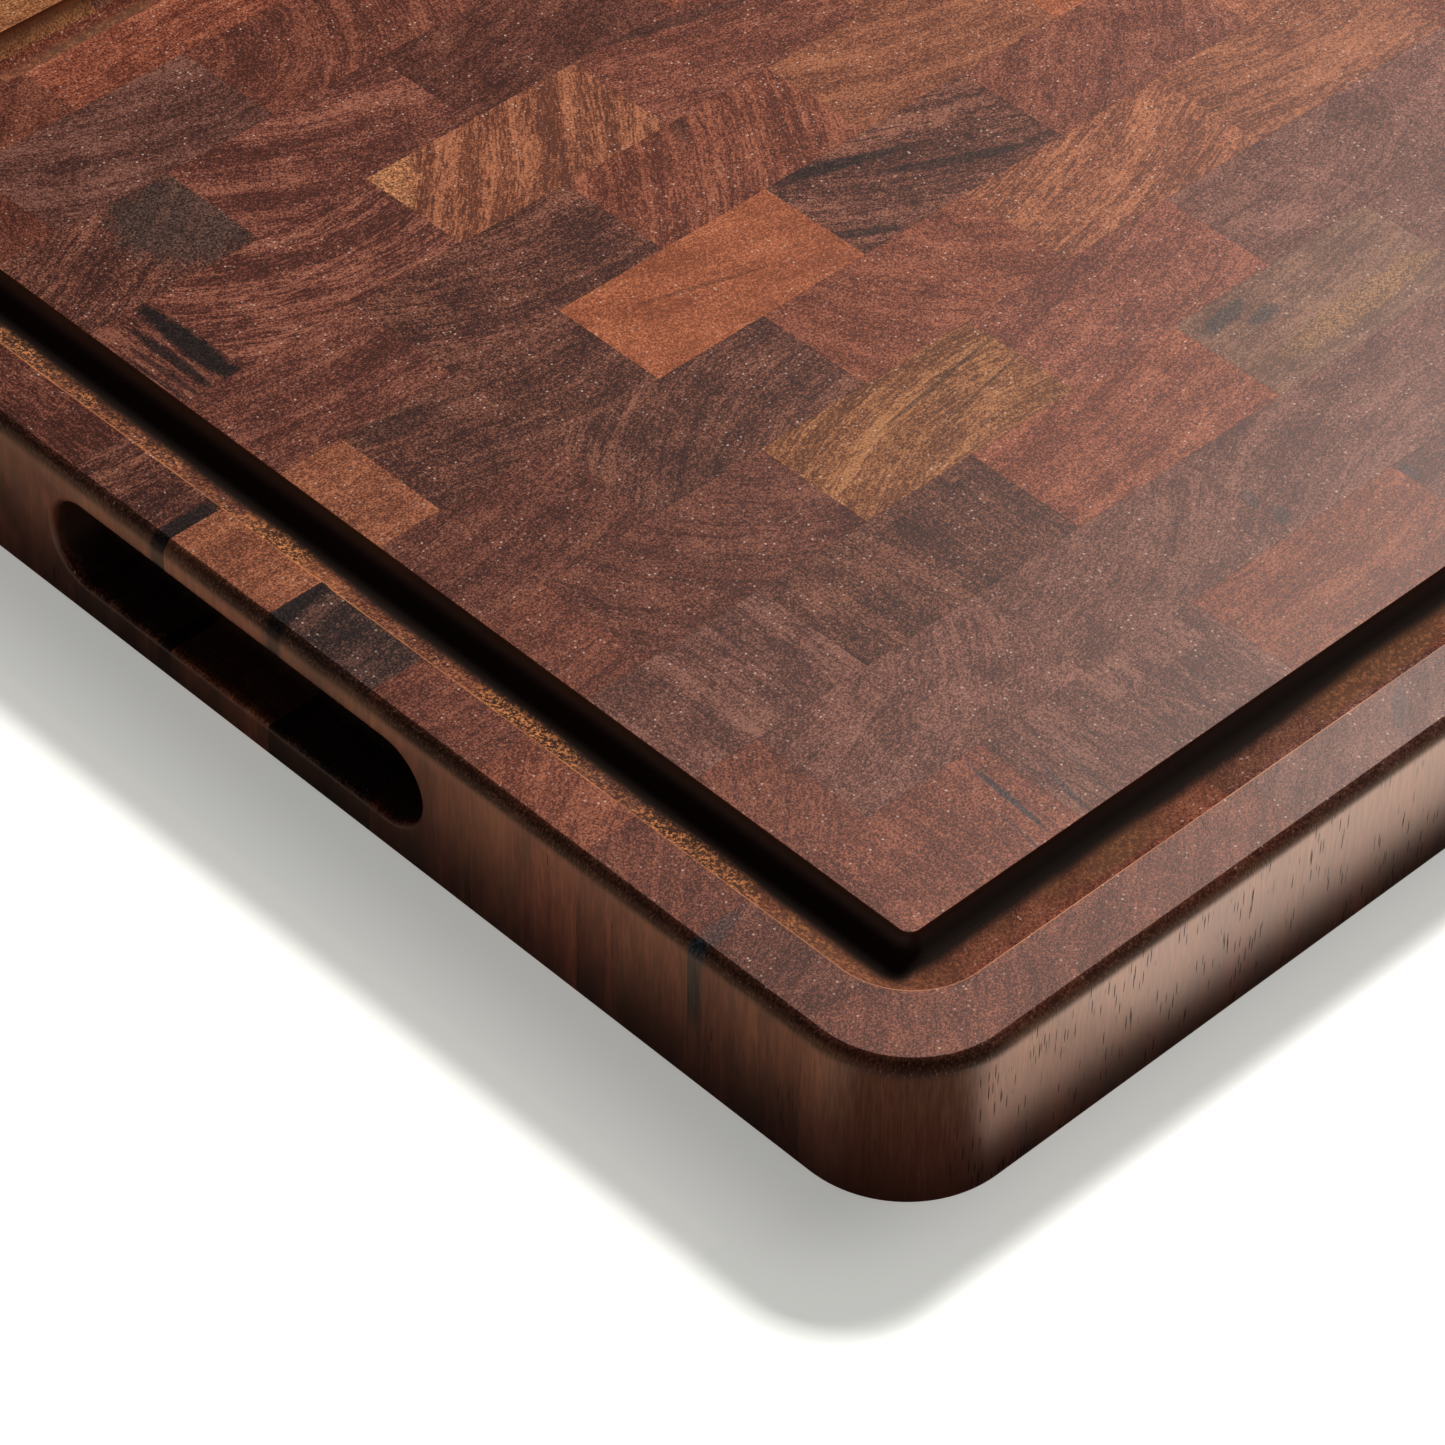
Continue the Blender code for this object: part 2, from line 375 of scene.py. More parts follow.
def wood_group():
    """End grain as a solid texture, in millimetres: growth rings about a pith, almost the same
    all the way down the block, with fine stripes, specks of light fibre, painted glints and open pores."""
    group, tree, entry, give = node_group(
        "end_grain",
        {"Position": "Vector", "Pith": "Vector", "Reach": "Float", "Ring": "Float",
         "Contrast": "Float", "Wander": "Float", "Seed": "Float", "Upright": "Float",
         "Dark": "Color", "Mid": "Color", "Light": "Color"},
        {"Color": "Color", "Speck": "Float", "Pore": "Float"})
    shift = tree.join(entry["Seed"], tree.times(entry["Seed"], 1.7), 0.0)
    place = tree.vector("ADD", entry["Position"], shift)

    # The rings wander a little, in slow waves and in small kinks.
    slow = tree.swing(tree.noise(tree.shrink(place, (17, 17, 70)), 1.0), entry["Wander"])
    kink = tree.times(entry["Wander"], 0.22)
    quick = tree.swing(tree.noise(tree.shrink(place, (4.5, 4.5, 40)), 1.0), kink)
    from_pith = tree.split(tree.vector("SUBTRACT", entry["Position"], entry["Pith"]))
    flat = tree.join(from_pith["X"], from_pith["Y"], 0.0)
    depth = tree.plus(tree.vector("LENGTH", flat), tree.plus(slow, quick))
    along = tree.times(tree.math("ARCTAN2", from_pith["Y"], from_pith["X"]), entry["Reach"])
    rings = tree.join(tree.math("DIVIDE", depth, entry["Ring"]),
                      tree.plus(tree.math("DIVIDE", along, 42.0), entry["Seed"]),
                      tree.math("DIVIDE", from_pith["Z"], 75.0))
    thin = tree.join(tree.math("DIVIDE", depth, 0.55),
                     tree.plus(tree.math("DIVIDE", along, 3.2), entry["Seed"]),
                     tree.math("DIVIDE", from_pith["Z"], 20.0))
    broad_band = tree.noise(tree.vector("MULTIPLY", rings, (0.32, 0.55, 1.0)), 1.0)
    band = tree.noise(rings, 4.0, 0.65)
    line = tree.noise(thin, 2.0, 0.5)
    stripes = tree.plus(tree.swing(broad_band, 1.3), tree.swing(band, 1.7), tree.swing(line, 1.7))
    ring_line = tree.step(tree.math("ABSOLUTE", tree.minus(band, 0.47)), 0.045, 0.0)
    stripes = tree.minus(stripes, tree.times(ring_line, 0.45))
    cloud = tree.noise(tree.shrink(place, (11, 11, 45)), 2.0)
    tone = tree.plus(tree.times(stripes, entry["Contrast"]), tree.swing(cloud, 0.8))

    # Cut fibre makes the end grain gritty, and draws out into threads down the sides.
    speck = tree.noise(tree.shrink(place, (0.42, 0.42, 7)), 1.5, 0.8)
    grit = tree.minus(3.4, tree.times(entry["Upright"], 2.3))
    tone = tree.plus(tone, tree.swing(speck, grit), 0.5)
    color = tree.mix(tree.step(tone, 0.05, 0.52), entry["Dark"], entry["Mid"])
    color = tree.mix(tree.step(tone, 0.50, 1.05), color, entry["Light"])

    # Painted glints: a few fibre ends are painted pale, as if they caught the light.
    distance, pick = tree.cells(tree.shrink(place, (1.3, 1.3, 4)))
    picked = tree.step(tree.split(pick)["X"], 0.42, 1.0)
    glint = tree.times(tree.step(distance, 0.26, 0.10), picked, tree.step(cloud, 0.34, 0.60))
    glint = tree.times(glint, tree.minus(1.0, entry["Upright"]))
    color = tree.mix(tree.times(glint, 0.85), color, PAINTED_GLINT)

    # Open pores: dots in the end grain, and short dashes on the sides.
    distance, _ = tree.cells(tree.shrink(place, (0.95, 0.95, 11)))
    pore = tree.step(distance, 0.24, 0.10)
    color = tree.mix(tree.times(pore, 0.45), color, entry["Dark"])
    give("Color", color)
    give("Speck", speck)
    give("Pore", pore)
    return group


def streak_group():
    """A mineral streak: a soft-edged stain, longer than it is wide, laid over a block's colour."""
    group, tree, entry, give = node_group(
        "mineral_streak",
        {"Color": "Color", "Position": "Vector", "Middle": "Vector", "Size": "Vector",
         "Turn": "Float", "Strength": "Float", "Bottom": "Float", "Stain": "Color",
         "Speck": "Float"},
        {"Color": "Color"})
    here = tree.vector("SUBTRACT", entry["Position"], entry["Middle"])
    turned = tree.node("ShaderNodeVectorRotate", {"Vector": here, "Angle": entry["Turn"]},
                       rotation_type="Z_AXIS").outputs[0]
    shaped = tree.split(tree.vector("DIVIDE", turned, entry["Size"]))
    ragged = tree.noise(tree.shrink(entry["Position"], (3, 3, 30)), 3.0, 0.6)
    reach = tree.vector("LENGTH", tree.join(shaped["X"], shaped["Y"], 0.0))
    reach = tree.plus(reach, tree.swing(ragged, 0.9))
    height = tree.split(entry["Position"])["Z"]
    high_enough = tree.step(height, entry["Bottom"], tree.plus(entry["Bottom"], 12.0))
    strength = tree.times(high_enough, entry["Strength"])
    mask = tree.times(tree.step(reach, 1.05, 0.60), strength)
    grit = tree.plus(0.3, tree.times(tree.step(entry["Speck"], 0.35, 0.75), 2.6))
    stain = tree.vector("MULTIPLY", entry["Stain"], tree.join(grit, grit, grit))
    give("Color", tree.mix(mask, entry["Color"], stain))
    return group


# ---------------------------------------------------------------- the board's finish, and painted light

# Linear colours that working and oiling the wood gave it, and painted glints and shade
PAINTED_GLINT = (0.44, 0.31, 0.25, 1)
SIDE_DARK_THREAD = (0.120, 0.054, 0.025, 1)
SIDE_LIGHT_THREAD = (0.235, 0.112, 0.055, 1)
SIDE_BOTTOM_SHADE = (0.030, 0.016, 0.010, 1)
VESSEL = (0.004, 0.003, 0.003, 1)
CORNER_SHADE_PAINT = (0.040, 0.009, 0.005, 1)
TORN_DARK = (0.020, 0.009, 0.006, 1)
TORN_GOLD = (0.42, 0.155, 0.055, 1)
SANDED_GROOVE = (0.088, 0.037, 0.020, 1)
GROOVE_SHADOW_PAINT = (0.0095, 0.0062, 0.0050, 1)
BARE_FIBRE_HIGHLIGHT = (0.42, 0.150, 0.050, 1)
EDGE_SHADE_PAINT = (0.016, 0.006, 0.004, 1)
EDGE_SHADE_FLECK = (0.135, 0.058, 0.031, 1)
SLOT_SHADE_PAINT = (0.016, 0.009, 0.007, 1)

Spot = namedtuple(
    "Spot", "position height below_top inset in_groove from_end from_side nearer_side")


def round_box_distance(tree, position, half_x, half_y, radius):
    """How far inside a round-cornered rectangle about the board's middle a point is, in mm."""
    middle = (MIDDLE.x / MM, MIDDLE.y / MM, 0)
    place = tree.vector("ABSOLUTE", tree.vector("SUBTRACT", position, middle))
    over = tree.split(tree.vector("SUBTRACT", place, (half_x - radius, half_y - radius, 0)))
    outer = tree.vector("LENGTH", tree.join(tree.math("MAXIMUM", over["X"], 0.0),
                                            tree.math("MAXIMUM", over["Y"], 0.0), 0.0))
    inner = tree.math("MINIMUM", tree.math("MAXIMUM", over["X"], over["Y"]), 0.0)
    return tree.minus(radius, tree.plus(outer, inner))


def spot_on_board(tree, position):
    """Where a point lies, in mm: its height, its depth below the top, how far in it is from the
    board's outline and from the groove's outer edge, how far it is from the nearer end and from
    the nearer long side, and by how much that side is the nearer of the two."""
    place = tree.split(position)
    edge = (GROOVE_INSET - GROOVE_WIDTH / 2) / MM
    edge_radius = (GROOVE_CORNER_RADIUS + GROOVE_WIDTH / 2) / MM
    from_end = tree.minus(HALF_X / MM, tree.math("ABSOLUTE", place["X"]))
    from_side = tree.minus(HALF_Y / MM, tree.math("ABSOLUTE", place["Y"]))
    return Spot(
        position=position,
        height=place["Z"],
        below_top=tree.minus(TOP / MM, place["Z"]),
        inset=round_box_distance(tree, position, HALF_X / MM, HALF_Y / MM, CORNER_RADIUS / MM),
        in_groove=round_box_distance(tree, position, HALF_X / MM - edge, HALF_Y / MM - edge,
                                     edge_radius),
        from_end=from_end,
        from_side=from_side,
        nearer_side=tree.minus(from_end, from_side))


def work_sides(tree, spot, entry, color, not_groove):
    """The upright faces: long grain painted darker towards the bottom as painted shade, dark vessel
    lines, and corners painted darker as painted shade. Gives the colour, and where the vessel lines and
    the corners are."""
    # Long grain is a little paler and browner than end grain; towards the bottom the sides are painted
    # darker, as painted shade.
    thread = tree.mix(tree.step(entry["Speck"], 0.30, 0.70), SIDE_DARK_THREAD, SIDE_LIGHT_THREAD)
    thread_darker_low = tree.mix(tree.step(spot.height, 2.0, 34.0), SIDE_BOTTOM_SHADE, thread)
    figure = tree.noise(tree.shrink(spot.position, (12, 12, 45)), 3.0, 0.6)
    weight = tree.plus(0.35, tree.times(tree.step(figure, 0.30, 0.70), 0.57))
    color = tree.mix(tree.times(entry["Upright"], weight), color, thread_darker_low)

    # Dark vessel lines run down in clusters, mostly on the two long sides.
    distance, _ = tree.cells(tree.shrink(spot.position, (0.62, 0.62, 9)))
    clusters = tree.noise(tree.shrink(spot.position, (11, 11, 18)), 2.0)
    clusters = tree.minus(clusters, tree.times(tree.step(spot.nearer_side, 14.0, 2.0), 0.19))
    on_side = tree.times(entry["Upright"], not_groove)
    vessel = tree.times(tree.step(distance, 0.27, 0.19), tree.step(clusters, 0.40, 0.50), on_side)
    color = tree.mix(vessel, color, VESSEL)

    # The rounded corners are painted darker, as painted shade, and lose their coat.
    corner = tree.step(tree.math("MAXIMUM", spot.from_end, spot.from_side), 25.0, 13.0)
    corner = tree.times(corner, entry["Upright"])
    color = tree.mix(tree.times(corner, 0.66), color, CORNER_SHADE_PAINT)
    return color, vessel, corner


def work_groove(tree, spot, color, groove, near_top, patchy):
    """The groove: torn golden fibre on its outer slope, a painted shadow over its inner wall and a bright
    edge.
    Gives the colour and how torn the fibre is."""
    torn = tree.noise(tree.shrink(spot.position, (0.95, 0.95, 1.4)), 4.0, 0.85)
    fibre = tree.mix(tree.step(torn, 0.485, 0.60), TORN_DARK, TORN_GOLD)
    smooth = tree.times(tree.step(spot.nearer_side, -75.0, -5.0), 0.72)
    fibre = tree.mix(smooth, fibre, SANDED_GROOVE)
    lengthways = tree.step(spot.nearer_side, -4.0, 4.0)
    bare = tree.plus(0.36, tree.times(tree.step(patchy, 0.40, 0.56), 0.56))
    lip = tree.times(tree.step(spot.in_groove, 6.6, 4.2), lengthways)
    bare = tree.times(bare, tree.minus(1.0, lip))
    color = tree.mix(tree.times(groove, bare), color, fibre)

    # Painted shadow: the inner wall and the floor beside it are painted almost black, over a wider band in
    # the grooves along the ends than along the long sides.
    ragged = tree.plus(spot.in_groove, tree.swing(patchy, -3.0), tree.swing(torn, 2.0))
    ragged = tree.minus(ragged, tree.times(lengthways, 2.8))
    inner_wall_shadow = tree.times(groove, tree.step(ragged, 6.8, 9.2))
    color = tree.mix(inner_wall_shadow, color, GROOVE_SHADOW_PAINT)

    # A thin bright line runs along the groove's outer edge: bare fibre, and a painted highlight where the
    # outer wall meets the top.
    edge_line = tree.times(tree.step(spot.in_groove, -0.35, 0.0),
                           tree.step(spot.in_groove, 0.7, 0.3), near_top)
    broken = tree.plus(0.35, tree.times(tree.step(patchy, 0.60, 0.40), 0.55))
    color = tree.mix(tree.times(edge_line, broken), color, BARE_FIBRE_HIGHLIGHT)
    return color, torn


def work_edge_and_slots(tree, spot, color, patchy):
    """The eased top edge is painted almost black as painted shade, with a few golden flecks, and
    inside the finger slots the wood is painted dark as painted shade. Gives the colour and where the edge
    is."""
    # Painted shade: the eased top edge is painted almost black, with golden flecks.
    band = tree.times(tree.step(spot.inset, 2.7, 1.7), tree.step(spot.below_top, 4.6, 2.4))
    fleck = tree.noise(tree.shrink(spot.position, (0.5, 0.5, 0.9)), 2.0, 0.7)
    edge_shade_color = tree.mix(tree.step(fleck, 0.50, 0.74), EDGE_SHADE_PAINT, EDGE_SHADE_FLECK)
    edge_shade_strength = tree.plus(0.86, tree.times(tree.step(patchy, 0.45, 0.65), -0.36))
    color = tree.mix(tree.times(band, edge_shade_strength), color, edge_shade_color)

    # Painted shade: the inside of the finger slots is painted dark.
    in_slot = tree.times(tree.step(spot.inset, 1.0, 3.0), tree.step(spot.below_top, 7.0, 8.0),
                         tree.step(spot.height, 1.0, 3.0))
    color = tree.mix(tree.times(in_slot, 0.78), color, SLOT_SHADE_PAINT)
    return color, band


def finish_and_shade_group():
    """What routing, sanding and oiling did to the wood, with painted shade: duller long grain on the
    sides, painted darker low down and at the corners, a groove with torn golden fibre on its slope and a
    painted shadow on its inner wall, and an eased edge and finger slots painted dark as painted shade."""
    group, tree, entry, give = node_group(
        "sanded_oiled_and_painted_shade",
        {"Color": "Color", "Position": "Vector", "Upright": "Float", "Speck": "Float",
         "Pore": "Float"},
        {"Color": "Color", "Roughness": "Float", "Height": "Float", "Coat": "Float"})
    spot = spot_on_board(tree, entry["Position"])
    near_top = tree.step(spot.below_top, 9.0, 8.0)
    groove = tree.times(tree.step(spot.in_groove, -0.3, 0.3),
                        tree.step(spot.below_top, 0.05, 0.5), near_top)
    patchy = tree.noise(tree.shrink(spot.position, (30, 30, math.inf)), 2.0)
    color, vessel, corner = work_sides(tree, spot, entry, entry["Color"], tree.minus(1.0, groove))
    color, torn = work_groove(tree, spot, color, groove, near_top, patchy)
    color, band = work_edge_and_slots(tree, spot, color, patchy)
    give("Color", color)

    dull = tree.math("MAXIMUM", tree.math("MAXIMUM", band, vessel), corner)
    give("Coat", tree.times(entry["Upright"], tree.minus(1.0, dull)))
    give("Roughness", tree.plus(0.29, tree.times(entry["Speck"], 0.14), tree.times(groove, 0.50)))
    relief = tree.minus(entry["Speck"], tree.times(entry["Pore"], 0.5), vessel)
    give("Height", tree.plus(relief, tree.times(torn, groove, 2.0)))
    return group


# ---------------------------------------------------------------- woods

Wood = namedtuple("Wood", "dark mid light slot")

# Linear colours: the dark rings, the body of the wood, and its light fibre.
WOODS = {
    "brick": Wood((0.032, 0.009, 0.006), (0.090, 0.024, 0.015), (0.195, 0.066, 0.038), "red_brown_wood"),
    "red": Wood((0.044, 0.010, 0.006), (0.120, 0.031, 0.017), (0.240, 0.080, 0.042), "red_brown_wood"),
    "deep": Wood((0.024, 0.007, 0.005), (0.070, 0.019, 0.013), (0.165, 0.060, 0.036), "red_brown_wood"),
    "plum": Wood((0.027, 0.010, 0.008), (0.082, 0.028, 0.020), (0.168, 0.073, 0.051), "plum_brown_wood"),
    "umber": Wood((0.018, 0.006, 0.005), (0.064, 0.020, 0.013), (0.170, 0.065, 0.040), "charcoal_wood"),
    "charcoal": Wood((0.007, 0.005, 0.005), (0.027, 0.012, 0.010), (0.095, 0.042, 0.029), "charcoal_wood"),
    "orange": Wood((0.105, 0.027, 0.011), (0.192, 0.050, 0.021), (0.330, 0.110, 0.050), "orange_wood"),
    "amber": Wood((0.055, 0.016, 0.009), (0.138, 0.043, 0.021), (0.260, 0.095, 0.046), "orange_wood"),
    "honey": Wood((0.060, 0.018, 0.007), (0.160, 0.056, 0.022), (0.290, 0.125, 0.050), "honey_wood"),
    "tan": Wood((0.048, 0.022, 0.015), (0.104, 0.046, 0.030), (0.185, 0.092, 0.058), "honey_wood"),
}

Grain = namedtuple("Grain", "wood lean reach ring contrast wander lift", defaults=(2.5, 1.0))

# Blocks by (row, number): the wood, the way the rings run in degrees from +X, how far off the
# pith is in mm (the sign says on which side), the ring spacing in mm and the contrast. Wander
# is how far the rings stray in mm, and lift is how much lighter the block is than its wood.
SEEN = {
    (1, 1): Grain("brick", 45, 120, 3.0, 0.35, lift=1.08),
    (1, 2): Grain("brick", 40, 120, 3.0, 0.35),
    (1, 3): Grain("plum", 42, 140, 2.6, 0.40),
    (1, 4): Grain("brick", 50, 90, 3.0, 0.45),
    (2, 1): Grain("deep", 20, 150, 3.0, 0.40),
    (2, 2): Grain("brick", 88, 300, 3.2, 0.35, lift=1.20),
    (2, 3): Grain("plum", 92, -160, 3.0, 0.60, 3.5, lift=1.08),
    (2, 4): Grain("red", 5, 200, 2.5, 0.40, lift=0.95),
    (2, 5): Grain("plum", 10, 200, 3.0, 0.40),
    (3, 1): Grain("brick", 45, 160, 3.5, 0.45),
    (3, 2): Grain("plum", 35, 60, 4.5, 0.45, lift=1.25),
    (3, 3): Grain("plum", 25, 120, 3.0, 0.40, lift=1.13),
    (3, 4): Grain("plum", 15, -140, 3.0, 0.45, lift=1.08),
    (3, 5): Grain("plum", 30, 150, 3.5, 0.35, lift=1.20),
    (4, 1): Grain("red", 35, 120, 4.0, 0.50),
    (4, 2): Grain("plum", 90, 250, 2.4, 0.55, lift=1.08),
    (4, 3): Grain("umber", 93, -220, 2.6, 0.50),
    (4, 4): Grain("red", 8, 250, 1.6, 0.40, lift=1.13),
    (4, 5): Grain("tan", 6, 200, 2.2, 0.50),
    (4, 6): Grain("plum", 10, 200, 3.0, 0.30),
    (5, 1): Grain("brick", 0, 180, 3.0, 0.45),
    (5, 2): Grain("deep", -50, 60, 3.5, 0.45),
    (5, 3): Grain("honey", 10, -90, 3.0, 0.75, 1.4),
    (5, 4): Grain("brick", 16, 250, 3.4, 0.40, lift=1.34),
    (5, 5): Grain("plum", 15, 90, 3.5, 0.45, 4.0, lift=1.12),
    (5, 6): Grain("plum", 20, 200, 3.0, 0.30, lift=1.30),
    (6, 1): Grain("charcoal", 10, 200, 3.0, 0.60),
    (6, 2): Grain("deep", 8, 220, 3.0, 0.50),
    (6, 3): Grain("umber", 25, -80, 1.8, 0.55),
    (6, 4): Grain("red", -55, 70, 4.0, 0.35),
    (6, 5): Grain("amber", 18, 200, 2.2, 0.85, 1.8, lift=1.15),
    (6, 6): Grain("amber", -5, 160, 4.0, 0.70),
    (6, 7): Grain("red", -5, 160, 4.0, 0.40),
    (7, 1): Grain("amber", 0, 300, 2.2, 0.35, lift=1.15),
    (7, 2): Grain("umber", -10, 150, 2.6, 0.45),
    (7, 3): Grain("orange", -18, 250, 4.0, 0.30),
    (7, 4): Grain("umber", -25, 120, 2.8, 0.65, lift=1.10),
    (7, 5): Grain("brick", 45, 120, 3.0, 0.40, lift=1.15),
    (7, 6): Grain("amber", 20, 200, 3.0, 0.35, lift=1.35),
    (8, 1): Grain("umber", -5, 160, 3.2, 0.80),
    (8, 2): Grain("deep", -5, 200, 2.0, 0.50, lift=1.18),
    (8, 3): Grain("umber", -15, 110, 2.4, 0.55, lift=1.05),
    (8, 4): Grain("red", 55, 160, 2.0, 0.75, 1.8, lift=0.98),
    (8, 5): Grain("amber", -15, 160, 2.8, 0.45),
    (8, 6): Grain("orange", 0, 200, 3.0, 0.40),
    (9, 1): Grain("deep", 90, 250, 3.0, 0.75),
    (9, 2): Grain("deep", -15, 65, 2.6, 0.98, 2.0, lift=1.26),
    (9, 3): Grain("amber", 48, 200, 2.2, 1.05, 1.5, lift=1.06),
    (9, 4): Grain("brick", -15, 200, 3.4, 0.50, lift=1.10),
    (10, 1): Grain("deep", 20, 150, 3.0, 0.45),
    (10, 2): Grain("umber", 25, 120, 2.4, 0.55, lift=1.10),
    (10, 3): Grain("deep", -25, 140, 2.6, 0.60, lift=1.30),
    (10, 4): Grain("deep", 15, 120, 3.0, 0.40, 4.0, lift=0.88),
    (10, 5): Grain("red", 10, 200, 3.0, 0.40),
    (11, 1): Grain("brick", 60, 150, 3.0, 0.40, lift=0.85),
    (11, 2): Grain("plum", -20, 120, 2.4, 0.50, lift=0.92),
    (11, 3): Grain("brick", 62, 45, 2.6, 0.60),
    (11, 4): Grain("deep", 30, 140, 3.0, 0.45),
    (12, 2): Grain("brick", 40, 160, 3.0, 0.40, lift=0.88),
    (12, 3): Grain("red", 1, 300, 4.0, 0.60, lift=1.12),
    (13, 2): Grain("honey", 0, 300, 3.0, 0.40),
}

Streak = namedtuple("Streak", "x y length width turn strength bottom")

# Mineral streaks by block, in mm from the board's near left corner. They reach down the side
# to the height "bottom", also in mm.
BLUE_BLACK = (0.012, 0.016, 0.020, 1)
BLACK = (0.006, 0.004, 0.004, 1)
CHARCOAL_STAIN = (0.026, 0.017, 0.014, 1)
GOLD = (0.150, 0.072, 0.026, 1)
PALE_GOLD = (0.245, 0.105, 0.045, 1)
STREAKS = {
    (1, 3): [(BLUE_BLACK, Streak(145, 10, 9, 2, 40, 0.5, 15))],
    (2, 1): [(BLUE_BLACK, Streak(4, 56, 10, 2.2, 8, 0.55, 30)),
             (BLUE_BLACK, Streak(0, 57, 2.8, 2.8, 0, 0.98, 12))],
    (2, 2): [(BLUE_BLACK, Streak(71, 44, 14, 0.9, 85, 0.8, -20)),
             (BLUE_BLACK, Streak(66, 36, 8, 0.6, 84, 0.4, -20))],
    (2, 3): [(BLUE_BLACK, Streak(81, 39, 9, 0.8, 80, 0.6, -20)),
             (BLUE_BLACK, Streak(88, 42, 12, 0.6, 82, 0.4, -20))],
    (2, 5): [(BLUE_BLACK, Streak(198, 55, 4, 3, 20, 0.5, -20))],
    (3, 4): [(BLUE_BLACK, Streak(168.5, 71, 4, 2.2, 60, 0.5, -20)),
             (BLUE_BLACK, Streak(170, 63.5, 3.5, 2.6, 60, 0.45, -20))],
    (4, 5): [(BLUE_BLACK, Streak(208, 114, 9, 2.6, 8, 0.6, -20)),
             (BLUE_BLACK, Streak(215, 109, 6, 2.4, 8, 0.6, -20)),
             (GOLD, Streak(232, 98, 30, 4.5, 3, 0.45, -20))],
    (5, 3): [(BLACK, Streak(150, 140, 26, 0.7, 8, 0.6, -20)),
             (BLACK, Streak(158, 133, 24, 0.5, 10, 0.5, -20))],
    (5, 4): [(BLACK, Streak(190, 168, 24, 0.9, -20, 0.5, -20))],
    (6, 1): [(BLACK, Streak(6, 178, 16, 2.8, 10, 0.95, 5))],
    (7, 2): [(BLACK, Streak(58, 206, 12, 4, -10, 0.5, -20))],
    (7, 3): [(BLACK, Streak(135, 196, 20, 0.7, -18, 0.35, -20))],
    (7, 4): [(BLACK, Streak(185, 206, 20, 2.2, -20, 0.8, -20)),
             (BLACK, Streak(205, 190, 22, 1.9, -25, 0.7, -20)),
             (BLACK, Streak(172, 186, 10, 1.8, -30, 0.7, -20))],
    (8, 1): [(BLACK, Streak(2, 212, 18, 2.8, 0, 0.95, 0))],
    (8, 4): [(BLACK, Streak(170, 240, 10, 1.8, 60, 0.5, -20))],
    (9, 1): [(BLACK, Streak(44.2, 254, 20, 3.6, 90, 0.97, -20)),
             (BLACK, Streak(38.4, 253, 17, 1.6, 90, 0.85, -20)),
             (BLACK, Streak(34.6, 250, 15, 1.0, 91, 0.7, -20)),
             (BLACK, Streak(31.8, 248, 14, 0.7, 92, 0.6, -20))],
    (9, 3): [(PALE_GOLD, Streak(107.5, 271.2, 30, 12, 48, 0.60, -20))],
    (9, 4): [(BLACK, Streak(195, 267, 22, 2.4, -15, 0.6, -20))],
    (10, 2): [(CHARCOAL_STAIN, Streak(69, 287, 17, 19, 0, 0.72, -20))],
}


def unseen_grain(row, number):
    """A grain for a block that has none above: drawn from the same woods, by its own seed."""
    draw = random.Random(1000 * row + number)
    wood = draw.choice(("brick", "red", "deep", "plum", "umber", "amber", "brick", "deep", "orange"))
    lean = draw.uniform(-60, 90)
    reach = draw.uniform(60, 240) * draw.choice((-1, 1))
    return Grain(wood, lean, reach, draw.uniform(2.0, 4.0), draw.uniform(0.35, 0.6))


# The sheen of the oil, its coat on the upright faces, and the relief of the grain
SPECULAR = 0.068
GLOSS_TINT = (1.0, 0.72, 0.60, 1)
COAT_ROUGHNESS = 0.40
COAT_TINT = (1.0, 0.70, 0.52, 1)
RELIEF = 0.12 * MM
RELIEF_STRENGTH = 0.22


def opaque(color, lift):
    return tuple(part * lift for part in color) + (1,)


def ring_values(block, grain, wood):
    """What the wood group needs to know about one block."""
    middle = (block.low + block.high) / 2 / MM
    across = math.radians(grain.lean + 90)
    pith = (middle.x + grain.reach * math.cos(across), middle.y + grain.reach * math.sin(across), 0)
    return {"Pith": pith, "Reach": abs(grain.reach), "Ring": grain.ring,
            "Contrast": grain.contrast, "Wander": grain.wander,
            "Seed": 37.0 * block.row + 11.3 * block.number,
            "Dark": opaque(wood.dark, grain.lift), "Mid": opaque(wood.mid, grain.lift),
            "Light": opaque(wood.light, grain.lift)}


def streak_values(stain, streak):
    """What the streak group needs to know about one streak."""
    return {"Middle": (LOW.x / MM + streak.x, LOW.y / MM + streak.y, 0),
            "Size": (streak.length, streak.width, 1), "Turn": -math.radians(streak.turn),
            "Strength": streak.strength, "Bottom": streak.bottom, "Stain": stain}


